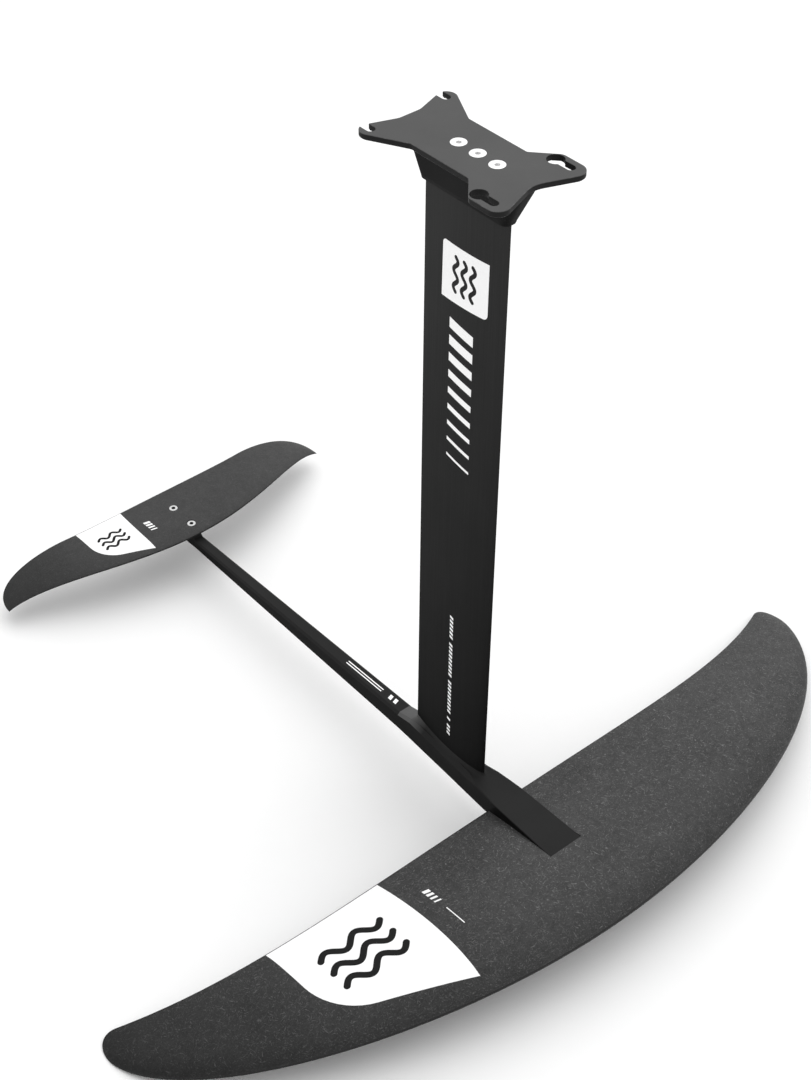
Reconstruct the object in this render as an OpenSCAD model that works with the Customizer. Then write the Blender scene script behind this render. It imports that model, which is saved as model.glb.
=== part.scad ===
// Hydrofoil for a surf, wing or SUP board: board plate, mast, fuselage, front wing and stabiliser.
// Millimetres. +Z is up, -Y is the direction of travel, and X = 0 is the plane of symmetry.
// The origin is the middle of the face of the plate that lies against the board.

/* [Board plate] */
// Distance between the board's two tracks
track_pitch = 90; // [86:1:94]
// Distance from the tail screw seats to the nose screw seats
slot_pitch = 165; // [150:1:170]
// Middle of the two screw rows, measured from the origin
slot_mid_y = 0; // [-2:0.5:2]
// Plate thickness
plate_t = 6.5; // [5:0.5:8]
// Width of the open slots and of the keyhole slots
slot_w = 9; // [8:0.5:9.5]
// Radius of the keyholes' entry holes
key_r = 8.5; // [7.5:0.25:8.75]
// How far each entry hole lies behind its seat
key_shift = 19; // [16:1:21]
// Half width across the nose lobes
lobe_half = 56; // [56:0.5:60]
// Half width of the waist
waist_half = 34.5; // [30:0.5:38]

/* [Mast] */
// Chord of the mast
mast_chord = 115; // [112:1:120]
// Greatest thickness of the mast
mast_t = 15.5; // [15:0.5:17]
// Position of the mast's leading edge
mast_nose_y = -58; // [-59:0.5:-56]
// Height of the fuselage's top at the mast, below the board face
mast_drop = 779; // [600:1:950]
// Pitch of the mast's three screw channels
channel_pitch = 25.5; // [24:0.5:26]
// Position of the middle screw channel
channel_y = -11.5; // [-13:0.5:-10]

/* [Mast head] */
// Height of the mast head under the plate
head_h = 45; // [40:1:55]
// Depth of solid metal between the plate and the mast
head_cap = 10; // [8:1:14]

/* [Fuselage] */
// Position of the nose edge
fus_nose_y = -192; // [-195:1:-189]
// Half width at the nose edge
fus_nose_half = 22.8; // [21:0.2:24]
// Half width where the boom leaves the mast
boom_root_half = 10.8; // [10.5:0.2:12]
// Half width under the stabiliser
boom_tail_half = 7.5; // [7:0.5:8.5]
// Position of the tail end
fus_tail_y = 587; // [579:1:591]

/* [Front wing] */
// Wing span
wing_span = 1034; // [900:2:1100]
// Root chord
wing_chord = 205.4; // [200:0.2:210]
// Sweep of the leading edge from root to tip
wing_sweep = 240; // [200:1:250]
// Forward reach of the trailing edge's curve at the tip
wing_rake = 71; // [50:1:80]
// Droop of the tips
wing_droop = 57; // [20:1:90]
// Height of the upper surface over the chord line, as a share of the chord
wing_upper = 0.0905; // [0.088:0.0005:0.094]
// Depth of the lower surface under the chord line, as a share of the chord
wing_lower = 0.032; // [0.03:0.001:0.04]
// Laminate thickness of the skins
skin_t = 1.6; // [1.2:0.1:2]

/* [Stabiliser] */
// Stabiliser span
stab_span = 504; // [440:2:560]
// Root chord
stab_chord = 101; // [98:0.2:104]
// Sweep of the leading edge from root to tip
stab_sweep = 75; // [60:1:90]
// Droop of the tips
stab_droop = 43; // [0:1:60]
// Thickness of the shim under the stabiliser
shim_t = 1.5; // [1:0.25:2]

/* [Hidden] */

$fn = 64;
// Overshoot of a cut past the faces it opens
over = 1;
// Gap round a part that slides into another
fit_gap = 0.15;
// Gap between a screw and the part it passes through
screw_gap = 0.05;

// Board plate outline
half_track = track_pitch / 2;
seat_tail_y = slot_mid_y + slot_pitch / 2;
seat_nose_y = slot_mid_y - slot_pitch / 2;
key_y = seat_nose_y + key_shift;
lobe_r = 12;
lobe_x = lobe_half - lobe_r;
lobe_y = seat_nose_y - 3.5;
shoulder_r = 8;
shoulder_x = lobe_half - shoulder_r;
shoulder_y = key_y - 1.5;
shoulder_a = 42;
// Rounded middle of the nose edge, and the direction square to the straight leg from it to the lobe
nose_r = 30;
nose_mid_y = lobe_y + 1.8;
nose_cy = nose_mid_y - nose_r;
leg_a = atan2(lobe_y - nose_cy, lobe_x) + acos((nose_r + lobe_r) / norm([lobe_x, lobe_y - nose_cy]));
leg_n = [cos(leg_a), sin(leg_a)];
// Small overlap where a straight edge runs into a round
bite = 0.04;
prong_r = slot_w / 2 + 6.5;
waist_nose_y = -38;
waist_tail_y = 39;
prong_dx = half_track - waist_half;
prong_dy = seat_tail_y - waist_tail_y;
prong_a = atan2(prong_dy, prong_dx) - asin(prong_r / norm([prong_dx, prong_dy])) - 90;
tail_corner_x = half_track - slot_w / 2;
tail_corner_y = seat_tail_y + 8.8;
tail_mid_y = seat_tail_y - 1.3;
tail_flat = 12.5;
tail_slope = (tail_corner_y - tail_mid_y) / (tail_corner_x - tail_flat);

// Metric countersunk screws: shank radius, head radius, head height, key size across corners
m8 = [4, 8, 4, 2.9];
m6 = [3, 5.6, 2.6, 2.3];
head_sink = 0.2;
key_depth = 2.2;
plate_screw_len = 41;
foot_screw_len = 45;

// Mast
mast_top_z = -plate_t - head_cap;
mast_bot_z = -mast_drop - 12.5;
mast_full = 0.4;
mast_tail_fade = 0.93;
mast_steps = 14;
mast_wall = 2.5;
channel_ys = [for (k = [-1:1]) channel_y + k * channel_pitch];
channel_bore_r = 3.4;
channel_web = 6.6;
insert_r = 5;
insert_len = 26;
insert_sink = 1;
plug_len = 12;
tail_cell_y = mast_nose_y + mast_chord - 16;

// Fuselage stations: y, half width, top, bottom, and the upper edges' chamfer across and down
fus_top = -mast_drop;
wedge_top = fus_top - 2.6;
fus_low = fus_top - 31.5;
boom_end_top = fus_top - 22;
boom_end_low = fus_top - 35;
pad_top = fus_top - 15;
nose_low = fus_top - 10;
notch_y = -100;
notch_low = fus_top - 25.5;
pad_y = 511;
fus_low_edge = 1.2;
fus_stations = [
    [fus_nose_y, fus_nose_half, fus_top - 2.2, nose_low, 0.6, 0.6],
    [notch_y, 20.6, wedge_top, notch_low, 0.8, 0.8],
    [-81, 19, wedge_top, fus_low + 3, 1, 1],
    [-63, 17.3, wedge_top, fus_low + 1.2, 1.5, 1.5],
    [-45, 15.8, fus_top - 2, fus_low, 5.5, 5],
    [-10, 14.2, fus_top - 1.2, fus_low, 5.6, 6],
    [28, 12.8, fus_top - 0.3, fus_low, 4.8, 5],
    [59, 11.5, fus_top, fus_low, 3.6, 4.5],
    [81, boom_root_half, fus_top - 6, fus_low, 2.8, 3.6],
    [pad_y - 9, boom_tail_half, boom_end_top, boom_end_low, 2, 2.6],
    [pad_y, boom_tail_half + 0.5, pad_top, boom_end_low, 1, 1.5],
    [fus_tail_y - 4, boom_tail_half + 0.5, pad_top, boom_end_low, 1, 1.5],
    [fus_tail_y, boom_tail_half - 1, pad_top - 2, boom_end_low + 2, 1, 1.5]
];

// Front wing
wing_semi = wing_span / 2;
wing_nose_y = -294.6;
wing_tail_y = wing_nose_y + wing_chord;
wing_z = fus_top - 18.3;
wing_pitch = 0.02;
wing_edge = 0.4;
wing_round = 0.95;
wing_n = 30;
wing_tip_u = 0.999;
wing_m = 14;
core_n = 22;
core_j0 = 1;
core_j1 = 11;
block_x = 30;
block_y0 = -207;
block_y1 = -117;
wing_screw_ys = [-179, -161, -143];
wing_cup_r = 8;
wing_cup_h = 4;
wing_insert_r = 3.9;
wing_insert_len = 6.5;

// Stabiliser
stab_semi = stab_span / 2;
stab_nose_y = 495.6;
stab_tail_y = stab_nose_y + stab_chord;
stab_z = fus_top - 11;
stab_rake = 68;
stab_round = 0.55;
stab_upper = 0.055;
stab_lower = 0.035;
stab_n = 20;
stab_m = 12;
stab_seat_z = pad_top + shim_t;
stab_screw_ys = [515, 556.5];
stab_cup_r = 6.4;
stab_cup_h = 4;
stab_screw_len = 17;

// ---- planforms and sections ----

// Half thickness of a thin aerofoil, scaled to 1 at its thickest
function foil(t) =
    2 * 5 * (0.2969 * sqrt(t) - 0.126 * t - 0.3516 * t * t + 0.2843 * pow(t, 3) - 0.1036 * pow(t, 4));

// Quarter of a round closing a tip over the last part of the span
function closing(u, from) = u <= from ? 0 : 1 - sqrt(max(0, 1 - pow((u - from) / (1 - from), 2)));

function wing_le(u) = wing_nose_y + wing_sweep * (1 - pow(1 - u * u, 0.62));
function wing_te(u) = wing_tail_y + wing_rake * pow(u, 4)
    - (wing_tail_y + wing_rake - wing_nose_y - wing_sweep) * closing(u, wing_round);
function stab_le(u) = stab_nose_y + stab_sweep * (1 - pow(1 - pow(u, 2.15), 1.45));
function stab_te(u) = stab_tail_y + stab_rake * pow(u, 3.4)
    - (stab_tail_y + stab_rake - stab_nose_y - stab_sweep) * closing(u, stab_round);

// Chordwise steps gathered at both edges, spanwise steps gathered at the tips
function chord_step(j, m) = (1 - cos(180 * j / m)) / 2;
function span_step(i, n) = sin(asin(wing_tip_u) * i / n);

// side = 1 upper surface, -1 lower surface, 0 the parting surface halfway between them
function wing_point(i, j, side) =
    let (
        u = abs(span_step(i, wing_n)),
        t = chord_step(j, wing_m),
        y0 = wing_le(u),
        c = wing_te(u) - y0,
        y = y0 + c * t,
        base = wing_z - wing_droop * pow(u, 2.9) - wing_pitch * (y - wing_nose_y - wing_chord / 2),
        up = c * wing_upper * foil(t) + wing_edge * t,
        low = -c * wing_lower * foil(t) - wing_edge * t,
        mid = (up + low) / 2
    )
    [wing_semi * span_step(i, wing_n), y, base + (side > 0 ? up : side < 0 ? low : mid)];

function in_core(i, j) = j > core_j0 && j < core_j1 && abs(i) <= core_n;
// Inner face of a skin: one laminate in from the surface over the core, else the parting surface
function inner_point(i, j, side) =
    in_core(i, j) ? wing_point(i, j, side) - [0, 0, side * skin_t] : wing_point(i, j, 0);

function stab_point(i, j, side) =
    let (
        u = abs(span_step(i, stab_n)),
        t = chord_step(j, stab_m),
        y0 = stab_le(u),
        c = stab_te(u) - y0,
        base = stab_z - stab_droop * pow(u, 3),
        thick = c * (side > 0 ? stab_upper : stab_lower) * foil(t) + 0.3 * t
    )
    [stab_semi * span_step(i, stab_n), y0 + c * t, base + side * thick];

// Faces of a solid between two grids of ni by nj points: the top grid first, then the bottom grid
function grid_faces(ni, nj) =
    let (b = ni * nj)
    concat(
        [for (i = [0:ni - 2], j = [0:nj - 2]) let (p = i * nj + j) each
            [[p, p + nj + 1, p + nj], [p, p + 1, p + nj + 1]]],
        [for (i = [0:ni - 2], j = [0:nj - 2]) let (p = b + i * nj + j) each
            [[p, p + nj, p + nj + 1], [p, p + nj + 1, p + 1]]],
        [for (i = [0:ni - 2]) let (p = i * nj) each
            [[p, b + p + nj, b + p], [p, p + nj, b + p + nj]]],
        [for (i = [0:ni - 2]) let (p = i * nj + nj - 1) each
            [[p, b + p + nj, p + nj], [p, b + p, b + p + nj]]],
        [for (j = [0:nj - 2]) let (p = j) each
            [[p, b + p + 1, p + 1], [p, b + p, b + p + 1]]],
        [for (j = [0:nj - 2]) let (p = (ni - 1) * nj + j) each
            [[p, b + p + 1, b + p], [p, p + 1, b + p + 1]]]
    );

// Drop the faces that close on a line and those that lie in both grids of b points at once
function real_faces(pts, faces, b) = [for (f = faces) let (
        q = [for (k = f) pts[k]],
        w = [for (k = f) pts[(k + b) % (2 * b)]])
    if (q[0] != q[1] && q[1] != q[2] && q[0] != q[2] && q != w) f];

module between(top, low, ni, nj) {
    pts = concat(top, low);
    polyhedron(points = pts, faces = real_faces(pts, grid_faces(ni, nj), ni * nj), convexity = 6);
}

module wing_layer(top_side, top_inner, low_side, low_inner) {
    between(
        [for (i = [-wing_n:wing_n], j = [0:wing_m])
            top_inner ? inner_point(i, j, top_side) : wing_point(i, j, top_side)],
        [for (i = [-wing_n:wing_n], j = [0:wing_m])
            low_inner ? inner_point(i, j, low_side) : wing_point(i, j, low_side)],
        2 * wing_n + 1, wing_m + 1
    );
}

module core_solid() {
    reach = core_n + 1;
    between(
        [for (i = [-reach:reach], j = [core_j0:core_j1]) inner_point(i, j, 1)],
        [for (i = [-reach:reach], j = [core_j0:core_j1]) inner_point(i, j, -1)],
        2 * reach + 1, core_j1 - core_j0 + 1
    );
}

// Height of the wing's lower surface and of the stabiliser's upper surface on the centre line
function wing_belly(y) =
    let (t = (y - wing_nose_y) / wing_chord)
    wing_z - wing_pitch * (y - wing_nose_y - wing_chord / 2)
        - wing_chord * wing_lower * foil(t) - wing_edge * t;
function stab_back(y) =
    let (t = (y - stab_nose_y) / stab_chord)
    stab_z + stab_chord * stab_upper * foil(t) + 0.3 * t;
// Height of the fuselage wedge's underside in the wing's pocket
function wedge_low(y) = nose_low + (notch_low - nose_low) * (y - fus_nose_y) / (notch_y - fus_nose_y);

// ---- screws and inserts ----

// Countersunk socket screw, head up at z = 0, shank down
module countersunk(m, len) {
    difference() {
        union() {
            translate([0, 0, -m[2]]) cylinder(h = m[2], r1 = m[0], r2 = m[1]);
            translate([0, 0, -len]) cylinder(h = len - m[2], r = m[0]);
        }
        translate([0, 0, -key_depth]) cylinder(h = key_depth + over, r = m[3], $fn = 6);
    }
}

// Hole for a countersunk screw, face at z = 0
module countersunk_hole(m, len) {
    translate([0, 0, -m[2] - head_sink - screw_gap])
        cylinder(h = m[2] + screw_gap, r1 = m[0] + screw_gap, r2 = m[1] + screw_gap);
    translate([0, 0, -head_sink - over / 100]) cylinder(h = over + head_sink, r = m[1] + screw_gap);
    translate([0, 0, -len]) cylinder(h = len, r = m[0] + 0.4);
}

module sleeve(r_out, r_in, h) {
    difference() {
        cylinder(h = h, r = r_out);
        translate([0, 0, -over]) cylinder(h = h + 2 * over, r = r_in);
    }
}

// Countersunk cup washer, rim up at z = 0
module cup(r_out, h, m) {
    difference() {
        translate([0, 0, -h]) cylinder(h = h, r = r_out);
        translate([0, 0, -m[2] - head_sink - screw_gap])
            cylinder(h = m[2] + screw_gap, r1 = m[0] + screw_gap, r2 = m[1] + screw_gap);
        translate([0, 0, -head_sink - over / 100]) cylinder(h = over + head_sink, r = m[1] + screw_gap);
        translate([0, 0, -h - over]) cylinder(h = h, r = m[0] + screw_gap);
    }
}

// ---- board plate ----

// The flats start just inside the rounds they run into, so that each pair crosses cleanly
module plate_half_outline() {
    polygon([
        [0, nose_mid_y - 4],
        [nose_r * leg_n[0], nose_cy + nose_r * leg_n[1]],
        [lobe_x - (lobe_r - bite) * leg_n[0], lobe_y - (lobe_r - bite) * leg_n[1]],
        [lobe_x, lobe_y],
        [lobe_half - bite, lobe_y],
        [lobe_half - bite, shoulder_y],
        [shoulder_x, shoulder_y],
        [
            shoulder_x + (shoulder_r - bite) * cos(shoulder_a),
            shoulder_y + (shoulder_r - bite) * sin(shoulder_a)
        ],
        [waist_half, waist_nose_y],
        [waist_half, waist_tail_y],
        [half_track + (prong_r - bite) * cos(prong_a), seat_tail_y + (prong_r - bite) * sin(prong_a)],
        [half_track, seat_tail_y],
        [half_track, tail_corner_y + tail_slope * (half_track - tail_corner_x)],
        [tail_flat, tail_mid_y],
        [0, tail_mid_y]
    ]);
    translate([lobe_x, lobe_y]) circle(r = lobe_r);
    translate([shoulder_x, shoulder_y]) circle(r = shoulder_r);
    translate([half_track, seat_tail_y]) circle(r = prong_r);
}

// Round seat with a straight run of the same width towards y = len
module slot_outline(len) {
    circle(r = slot_w / 2);
    translate([-slot_w / 2, 0]) square([slot_w, len]);
}

module board_plate() {
    color([0.09, 0.09, 0.09])
    difference() {
        translate([0, 0, -plate_t]) linear_extrude(height = plate_t)
            difference() {
                union() {
                    plate_half_outline();
                    mirror([1, 0]) plate_half_outline();
                }
                translate([0, nose_cy]) circle(r = nose_r + bite);
                for (side = [-1, 1]) translate([side * half_track, 0]) {
                    translate([0, seat_tail_y]) slot_outline(20);
                    translate([0, seat_nose_y]) slot_outline(key_shift);
                    translate([0, key_y]) circle(r = key_r);
                }
            }
        for (y = channel_ys) translate([0, y, 0]) countersunk_hole(m8, plate_t + over);
    }
}

module plate_screws() {
    color([0.85, 0.85, 0.86])
    for (y = channel_ys) translate([0, y, -head_sink]) countersunk(m8, plate_screw_len);
}

// ---- mast ----

// Half thickness of the mast at a share t of its chord
function mast_half(t) =
    mast_t / 2 * (t < mast_full ? sqrt(1 - pow(1 - t / mast_full, 2))
                                : 1 - mast_tail_fade * pow((t - mast_full) / (1 - mast_full), 2));
function mast_half_at(y) = mast_half((y - mast_nose_y) / mast_chord);

// One side of the section, nose to tail, with the steps gathered round the nose
function mast_side(grow) = [for (k = [1:mast_steps]) let (t = pow(k / mast_steps, 1.8))
    [mast_half(t) + grow, mast_nose_y - grow + (mast_chord + 2 * grow) * t]];
function mirror_x(p) = [for (k = [len(p) - 1:-1:0]) [-p[k][0], p[k][1]]];

module mast_section(grow) {
    side = mast_side(grow);
    polygon(concat([[0, mast_nose_y - grow]], side, mirror_x(side)));
}

// Hollow cell between two webs, one wall in from the skin
module cell_section(y0, y1, inset) {
    steps = 4;
    side = [for (k = [0:steps]) let (y = y0 + inset + (y1 - y0 - 2 * inset) * k / steps)
        [mast_half_at(y) - mast_wall - inset, y]];
    polygon(concat(side, mirror_x(side)));
}

cells = [
    [channel_ys[0] + channel_web, channel_ys[1] - channel_web],
    [channel_ys[1] + channel_web, channel_ys[2] - channel_web],
    [channel_ys[2] + channel_web, tail_cell_y]
];

module mast() {
    color([0.1, 0.1, 0.1])
    difference() {
        translate([0, 0, mast_bot_z]) linear_extrude(height = mast_top_z - mast_bot_z) mast_section(0);
        translate([0, 0, mast_bot_z - over]) linear_extrude(height = mast_top_z - mast_bot_z + 2 * over)
            for (c = cells) cell_section(c[0], c[1], 0);
        for (y = channel_ys) {
            translate([0, y, mast_bot_z - over])
                cylinder(h = mast_top_z - mast_bot_z + 2 * over, r = channel_bore_r);
            translate([0, y, mast_top_z - insert_sink - insert_len])
                cylinder(h = insert_len + insert_sink + over, r = insert_r);
            translate([0, y, mast_bot_z - over])
                cylinder(h = insert_len + insert_sink + over, r = insert_r);
        }
    }
}

module mast_cell_plugs() {
    color([0.12, 0.12, 0.13])
    for (z = [mast_top_z - plug_len, mast_bot_z], c = cells)
        translate([0, 0, z]) linear_extrude(height = plug_len) cell_section(c[0], c[1], screw_gap);
}

module channel_inserts(z) {
    color([0.72, 0.72, 0.74])
    for (y = channel_ys) translate([0, y, z]) sleeve(insert_r - 0.02, m8[0] + 0.03, insert_len);
}

module mast_top_inserts() {
    channel_inserts(mast_top_z - insert_sink - insert_len);
}

module mast_foot_inserts() {
    channel_inserts(mast_bot_z + insert_sink);
}

module mast_foot_screws() {
    color([0.78, 0.78, 0.8])
    for (y = channel_ys) translate([0, y, fus_low + head_sink]) rotate([180, 0, 0])
        countersunk(m8, foot_screw_len);
}

// ---- mast head ----

corner_steps = 6;
// Rounded rectangle from y0 to y1 with half width w and corner radius r, at height z
function head_ring(y0, y1, w, r, z) = [
    for (q = [[w - r, y0 + r, -90], [w - r, y1 - r, 0], [r - w, y1 - r, 90], [r - w, y0 + r, 180]],
         k = [0:corner_steps])
        let (a = q[2] + 90 * k / corner_steps) [q[0] + r * cos(a), q[1] + r * sin(a), z]];

// Faces of a solid made of rings of m points, lowest ring first
function ring_faces(n, m) = concat(
    [for (k = [1:m - 2]) [0, k, k + 1]],
    [for (k = [1:m - 2]) let (b = (n - 1) * m) [b, b + k + 1, b + k]],
    [for (s = [0:n - 2], k = [0:m - 1]) let (a = s * m + k, b = s * m + (k + 1) % m) each
        [[a, a + m, b + m], [a, b + m, b]]]
);

module mast_head() {
    color([0.07, 0.07, 0.07])
    difference() {
        polyhedron(
            points = concat(
                head_ring(-59.8, 58.4, 8.8, 7.5, -plate_t - head_h),
                head_ring(-61.2, 59, 10, 8.5, -plate_t - head_h + 4.5),
                head_ring(-79, 71, 17, 13, -plate_t - 3),
                head_ring(-79, 71, 17, 13, -plate_t)
            ),
            faces = ring_faces(4, 4 * (corner_steps + 1)),
            convexity = 4
        );
        translate([0, 0, -plate_t - head_h - over]) linear_extrude(height = head_h - head_cap + over)
            mast_section(fit_gap);
        for (y = channel_ys) translate([0, y, -plate_t - head_h])
            cylinder(h = head_h + over, r = m8[0] + 0.4);
    }
}

// ---- fuselage ----

// Eight-sided section with chamfered edges
function fus_ring(s) = [
    [s[1] - fus_low_edge, s[0], s[3]], [-s[1] + fus_low_edge, s[0], s[3]],
    [-s[1], s[0], s[3] + fus_low_edge], [-s[1], s[0], s[2] - s[5]],
    [-s[1] + s[4], s[0], s[2]], [s[1] - s[4], s[0], s[2]],
    [s[1], s[0], s[2] - s[5]], [s[1], s[0], s[3] + fus_low_edge]
];

module fuselage() {
    color([0.1, 0.1, 0.1])
    difference() {
        polyhedron(
            points = [for (s = fus_stations) each fus_ring(s)],
            faces = ring_faces(len(fus_stations), 8),
            convexity = 4
        );
        translate([0, 0, mast_bot_z]) linear_extrude(height = 40) mast_section(fit_gap);
        for (y = channel_ys) translate([0, y, fus_low]) rotate([180, 0, 0])
            countersunk_hole(m8, mast_bot_z - fus_low + over);
        for (y = wing_screw_ys) translate([0, y, wedge_low(y) - 4])
            cylinder(h = wing_insert_len + 5, r = wing_insert_r);
        for (y = stab_screw_ys) translate([0, y, pad_top - 13.5]) cylinder(h = 20, r = wing_insert_r);
    }
}

module fuselage_front_inserts() {
    color([0.72, 0.72, 0.74])
    for (y = wing_screw_ys) translate([0, y, wedge_low(y) + 1])
        sleeve(wing_insert_r - 0.02, m6[0] + 0.03, wing_insert_len - 0.5);
}

module fuselage_tail_inserts() {
    color([0.72, 0.72, 0.74])
    for (y = stab_screw_ys) translate([0, y, pad_top - 13])
        sleeve(wing_insert_r - 0.02, m6[0] + 0.03, 12.5);
}

// ---- front wing ----

// The space the fuselage's wedge takes up in the root of the wing
module wedge_pocket() {
    g = fit_gap;
    rear = wing_tail_y + 15;
    rear_half = fus_nose_half + (20.6 - fus_nose_half) * (rear - fus_nose_y) / (notch_y - fus_nose_y);
    polyhedron(
        points = [
            for (s = [[fus_nose_y - g, fus_nose_half + g], [rear, rear_half + g]]) each [
                [s[1], s[0], wedge_low(s[0]) - g], [-s[1], s[0], wedge_low(s[0]) - g],
                [-s[1], s[0], fus_top + 20], [s[1], s[0], fus_top + 20]
            ]
        ],
        faces = ring_faces(2, 4)
    );
}

module wing_cup_bores() {
    for (y = wing_screw_ys) translate([0, y, wing_belly(y) - 2])
        cylinder(h = wing_cup_h + 2 + screw_gap, r = wing_cup_r + screw_gap);
}

module wing_shank_bores() {
    for (y = wing_screw_ys) translate([0, y, wing_belly(y) - 2]) cylinder(h = 30, r = m6[0] + 0.4);
}

module block_box() {
    translate([-block_x, block_y0, fus_top - 40]) cube([2 * block_x, block_y1 - block_y0, 60]);
}

module front_wing_upper_skin() {
    color([0.26, 0.26, 0.26])
    difference() {
        wing_layer(1, false, 1, true);
        wedge_pocket();
    }
}

module front_wing_lower_skin() {
    color([0.24, 0.24, 0.24])
    difference() {
        wing_layer(-1, true, -1, false);
        wedge_pocket();
        wing_cup_bores();
    }
}

module front_wing_core() {
    color([0.8, 0.74, 0.55])
    difference() {
        core_solid();
        block_box();
        wedge_pocket();
    }
}

module front_wing_mount_block() {
    color([0.55, 0.6, 0.4])
    difference() {
        intersection() {
            core_solid();
            block_box();
        }
        wedge_pocket();
        wing_cup_bores();
        wing_shank_bores();
    }
}

module front_wing_screw_cups() {
    color([0.3, 0.3, 0.31])
    for (y = wing_screw_ys) translate([0, y, wing_belly(y) + 0.25]) rotate([180, 0, 0])
        cup(wing_cup_r, wing_cup_h - 0.3, m6);
}

module front_wing_screws() {
    color([0.78, 0.78, 0.8])
    for (y = wing_screw_ys) translate([0, y, wing_belly(y) + 0.25 + head_sink]) rotate([180, 0, 0])
        countersunk(m6, wedge_low(y) - wing_belly(y) + wing_insert_len - 0.5);
}

// ---- stabiliser ----

module stabilizer() {
    color([0.27, 0.27, 0.27])
    difference() {
        between(
            [for (i = [-stab_n:stab_n], j = [0:stab_m]) stab_point(i, j, 1)],
            [for (i = [-stab_n:stab_n], j = [0:stab_m]) stab_point(i, j, -1)],
            2 * stab_n + 1, stab_m + 1
        );
        translate([-boom_tail_half - 1, pad_y - 1.5, stab_seat_z - 10])
            cube([2 * boom_tail_half + 2, fus_tail_y - pad_y + 3, 10]);
        for (y = stab_screw_ys) {
            translate([0, y, stab_back(y) - stab_cup_h])
                cylinder(h = stab_cup_h + over, r = stab_cup_r + screw_gap);
            translate([0, y, stab_seat_z - over]) cylinder(h = 12, r = m6[0] + 0.4);
        }
    }
}

module stabilizer_shim() {
    color([0.15, 0.15, 0.16])
    difference() {
        translate([-boom_tail_half + 0.5, pad_y + 1, pad_top])
            cube([2 * boom_tail_half - 1, fus_tail_y - pad_y - 7, shim_t]);
        for (y = stab_screw_ys) translate([0, y, pad_top - over])
            cylinder(h = shim_t + 2 * over, r = m6[0] + 0.4);
    }
}

module stabilizer_screw_cups() {
    color([0.3, 0.3, 0.31])
    for (y = stab_screw_ys) translate([0, y, stab_back(y) - 0.2])
        cup(stab_cup_r, stab_cup_h - 0.25, m6);
}

module stabilizer_screws() {
    color([0.85, 0.85, 0.86])
    for (y = stab_screw_ys) translate([0, y, stab_back(y) - 0.2 - head_sink])
        countersunk(m6, stab_screw_len);
}

board_plate();
plate_screws();
mast_head();
mast();
mast_cell_plugs();
mast_top_inserts();
mast_foot_inserts();
mast_foot_screws();
fuselage();
fuselage_front_inserts();
fuselage_tail_inserts();
front_wing_upper_skin();
front_wing_lower_skin();
front_wing_core();
front_wing_mount_block();
front_wing_screw_cups();
front_wing_screws();
stabilizer();
stabilizer_shim();
stabilizer_screw_cups();
stabilizer_screws();
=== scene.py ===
"""Hydrofoil: board plate, mast, fuselage, front wing and stabiliser.

Objects and materials are in metres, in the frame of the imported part: X to port, Y to the tail, Z up.
The shapes are worked out in millimetres and scaled when they become a mesh.
"""

import math

import bmesh
import bpy
import numpy as np
from mathutils import Euler, Matrix, Vector
from mathutils.geometry import tessellate_polygon


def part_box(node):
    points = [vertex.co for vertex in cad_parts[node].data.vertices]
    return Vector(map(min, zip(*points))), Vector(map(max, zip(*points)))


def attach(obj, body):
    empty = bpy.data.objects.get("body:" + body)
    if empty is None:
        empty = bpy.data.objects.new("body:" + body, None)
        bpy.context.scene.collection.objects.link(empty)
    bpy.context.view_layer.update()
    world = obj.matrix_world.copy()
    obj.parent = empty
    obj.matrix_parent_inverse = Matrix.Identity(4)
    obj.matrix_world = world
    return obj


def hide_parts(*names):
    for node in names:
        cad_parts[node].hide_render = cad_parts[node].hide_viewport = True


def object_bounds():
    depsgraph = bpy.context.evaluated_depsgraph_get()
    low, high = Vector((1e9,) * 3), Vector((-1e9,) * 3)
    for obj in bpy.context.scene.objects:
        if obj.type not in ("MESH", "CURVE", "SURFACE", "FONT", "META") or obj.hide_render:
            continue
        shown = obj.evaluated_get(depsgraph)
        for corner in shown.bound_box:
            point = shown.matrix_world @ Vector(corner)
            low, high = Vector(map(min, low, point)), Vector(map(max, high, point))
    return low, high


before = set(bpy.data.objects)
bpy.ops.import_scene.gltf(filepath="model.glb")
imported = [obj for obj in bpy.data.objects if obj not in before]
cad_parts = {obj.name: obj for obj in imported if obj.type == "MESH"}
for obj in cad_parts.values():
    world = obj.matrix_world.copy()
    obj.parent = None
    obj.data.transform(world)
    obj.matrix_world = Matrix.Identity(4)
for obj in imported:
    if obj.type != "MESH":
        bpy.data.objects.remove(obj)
cad_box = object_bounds()
MM = 0.001
scene = bpy.context.scene


# ---- the part's own dimensions, in millimetres ----

def box_in_mm(node):
    lo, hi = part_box(node)
    return np.array(lo) / MM, np.array(hi) / MM


plate_lo, plate_hi = box_in_mm("board_plate")
mast_lo, mast_hi = box_in_mm("mast")
head_lo, head_hi = box_in_mm("mast_head")

FIT_GAP = 0.15
TRACK_HALF, SLOT_SEAT, SLOT_HALF = 45.0, 82.5, 4.5
MAST_THICKNESS = 15.5
MAST_NOSE = mast_lo[1]
MAST_CHORD = mast_hi[1] - mast_lo[1]
CHANNELS = (-37.0, -11.5, 14.0)
FUS_TOP = box_in_mm("fuselage")[1][2]
FUS_LOW = FUS_TOP - 31.5
FUS_LOW_EDGE = 1.2
# Stretch along the fuselage whose upward faces take the rear ramp's painted highlight
RAMP_FROM, RAMP_TO = 36.0, 81.0

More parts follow.
